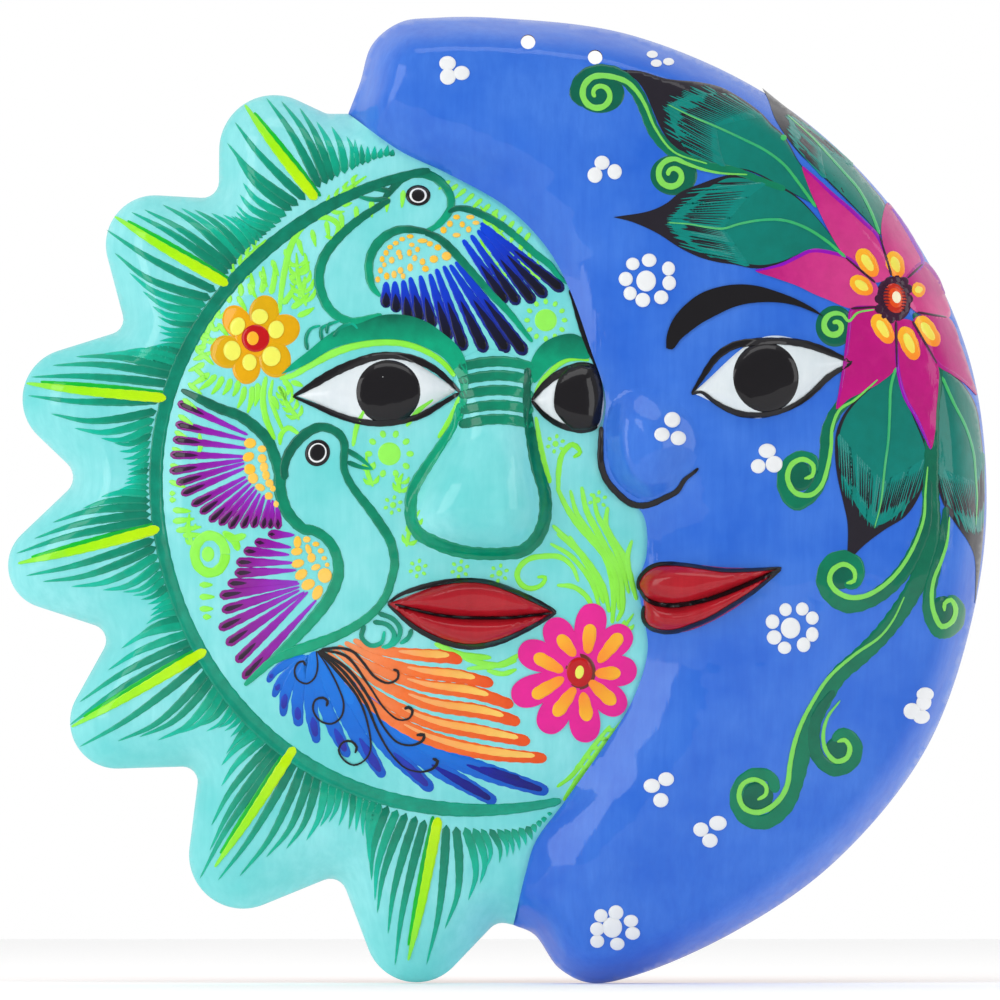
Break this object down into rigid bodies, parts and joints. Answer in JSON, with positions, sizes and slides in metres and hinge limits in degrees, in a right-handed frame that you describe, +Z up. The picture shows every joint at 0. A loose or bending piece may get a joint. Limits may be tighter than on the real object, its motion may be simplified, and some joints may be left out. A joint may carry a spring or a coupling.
{
  "type": "eclipse wall plaque",
  "caption": "Painted clay wall plaque: a sun face with ray lobes half covered by a crescent moon face, hollow at the back, with holes to hang it.",
  "frame": {"origin": "middle of the plaque's back plane, where it rests on the wall", "axes": "+Y out of the back towards the wall, so the painted front faces -Y; +X to the viewer's right; +Z up as it hangs"},
  "size_m": [0.2934, 0.0494, 0.29],
  "materials": {
    "turquoise_glaze": "glossy varnished paint on fired clay",
    "blue_glaze": "glossy varnished paint on fired clay",
    "white_glaze": "glossy varnished paint on fired clay",
    "red_glaze": "glossy varnished paint on fired clay"
  },
  "bodies": {
    "root": {"sun_shell": "turquoise_glaze", "moon_shell": "blue_glaze", "sun_nose": "turquoise_glaze", "sun_left_eye": "white_glaze", "sun_right_eye": "white_glaze", "sun_upper_lip": "red_glaze", "sun_lower_lip": "red_glaze", "moon_nose": "blue_glaze", "moon_eye": "white_glaze", "moon_upper_lip": "red_glaze", "moon_lower_lip": "red_glaze"}
  },
  "joints": []
}
